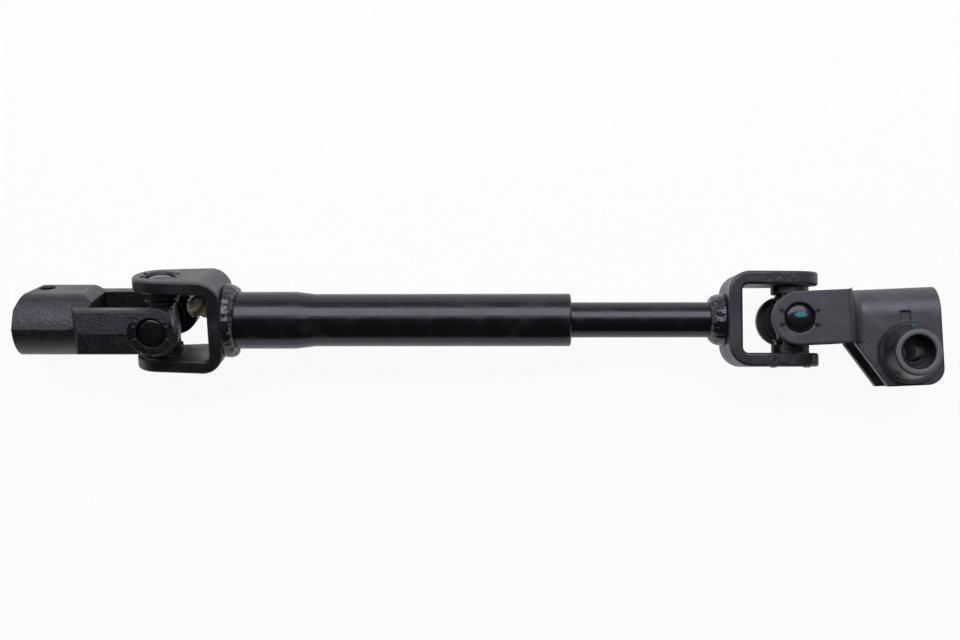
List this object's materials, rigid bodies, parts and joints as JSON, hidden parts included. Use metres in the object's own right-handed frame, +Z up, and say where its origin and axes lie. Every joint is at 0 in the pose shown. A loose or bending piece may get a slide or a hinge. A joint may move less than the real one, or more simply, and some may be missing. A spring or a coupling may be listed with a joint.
{
  "type": "intermediate steering shaft",
  "caption": "Telescopic steering shaft: a splined shaft slides in a tube, with a cross joint at each end, a split hub yoke at one end and an open clamp yoke at the other.",
  "frame": {"origin": "centre of the column hub's bore at its open mouth", "axes": "+X runs along the shaft from the column hub to the gear clamp; +Z points up from the table that it lies on, the side that the clamp's bolt boss faces; +Y lies across, away from the clamp's lugs"},
  "size_m": [0.4924, 0.0648, 0.0605],
  "materials": {
    "painted_steel": "satin",
    "painted_forging": "satin, cast texture",
    "painted_weld": "gloss",
    "painted_cup": "gloss",
    "bare_steel": "machined",
    "seal_rubber": "matt",
    "nylon": "smooth",
    "sealant": "glossy, translucent"
  },
  "bodies": {
    "tube": {"outer_tube": "painted_steel", "tube_yoke": "painted_steel", "tube_weld": "painted_weld", "sealant_lump": "sealant", "tube_yoke_cup_a": "painted_cup", "tube_yoke_cup_b": "painted_cup", "tube_yoke_needles_a": "bare_steel", "tube_yoke_needles_b": "bare_steel", "tube_yoke_seal_a": "seal_rubber", "tube_yoke_seal_b": "seal_rubber"},
    "column_cross": {"column_cross": "bare_steel"},
    "column_yoke": {"column_yoke": "painted_forging", "column_yoke_cup_a": "painted_cup", "column_yoke_cup_b": "painted_cup", "column_yoke_needles_a": "bare_steel", "column_yoke_needles_b": "bare_steel", "column_yoke_seal_a": "seal_rubber", "column_yoke_seal_b": "seal_rubber"},
    "shaft": {"inner_shaft": "painted_steel", "spline_coating": "nylon", "shaft_yoke": "painted_steel", "shaft_weld": "painted_weld", "shaft_yoke_cup_a": "painted_cup", "shaft_yoke_cup_b": "painted_cup", "shaft_yoke_needles_a": "bare_steel", "shaft_yoke_needles_b": "bare_steel", "shaft_yoke_seal_a": "seal_rubber", "shaft_yoke_seal_b": "seal_rubber"},
    "gear_cross": {"gear_cross": "bare_steel"},
    "clamp_yoke": {"clamp_yoke": "painted_steel", "bolt_boss": "painted_steel", "clamp_nut": "painted_steel", "clamp_yoke_cup_a": "painted_cup", "clamp_yoke_cup_b": "painted_cup", "clamp_yoke_needles_a": "bare_steel", "clamp_yoke_needles_b": "bare_steel", "clamp_yoke_seal_a": "seal_rubber", "clamp_yoke_seal_b": "seal_rubber"}
  },
  "joints": [
    {"name": "column_cross_hinge", "type": "hinge", "parent": "tube", "child": "column_cross", "pos_m": [0.0765, 0, 0], "axis": [0, 0.9511, 0.309], "range_deg": [-30, 30]},
    {"name": "column_yoke_hinge", "type": "hinge", "parent": "column_cross", "child": "column_yoke", "pos_m": [0.0765, 0, 0], "axis": [0, -0.309, 0.9511], "range_deg": [-30, 30]},
    {"name": "telescope", "type": "slide", "parent": "tube", "child": "shaft", "axis": [1, 0, 0], "range_m": [-0.06, 0.015]},
    {"name": "gear_cross_hinge", "type": "hinge", "parent": "shaft", "child": "gear_cross", "pos_m": [0.4151, 0, 0], "axis": [0, 1, 0], "range_deg": [-30, 30]},
    {"name": "clamp_yoke_hinge", "type": "hinge", "parent": "gear_cross", "child": "clamp_yoke", "pos_m": [0.4151, 0, 0], "axis": [0, 0, 1], "range_deg": [-30, 30]}
  ]
}
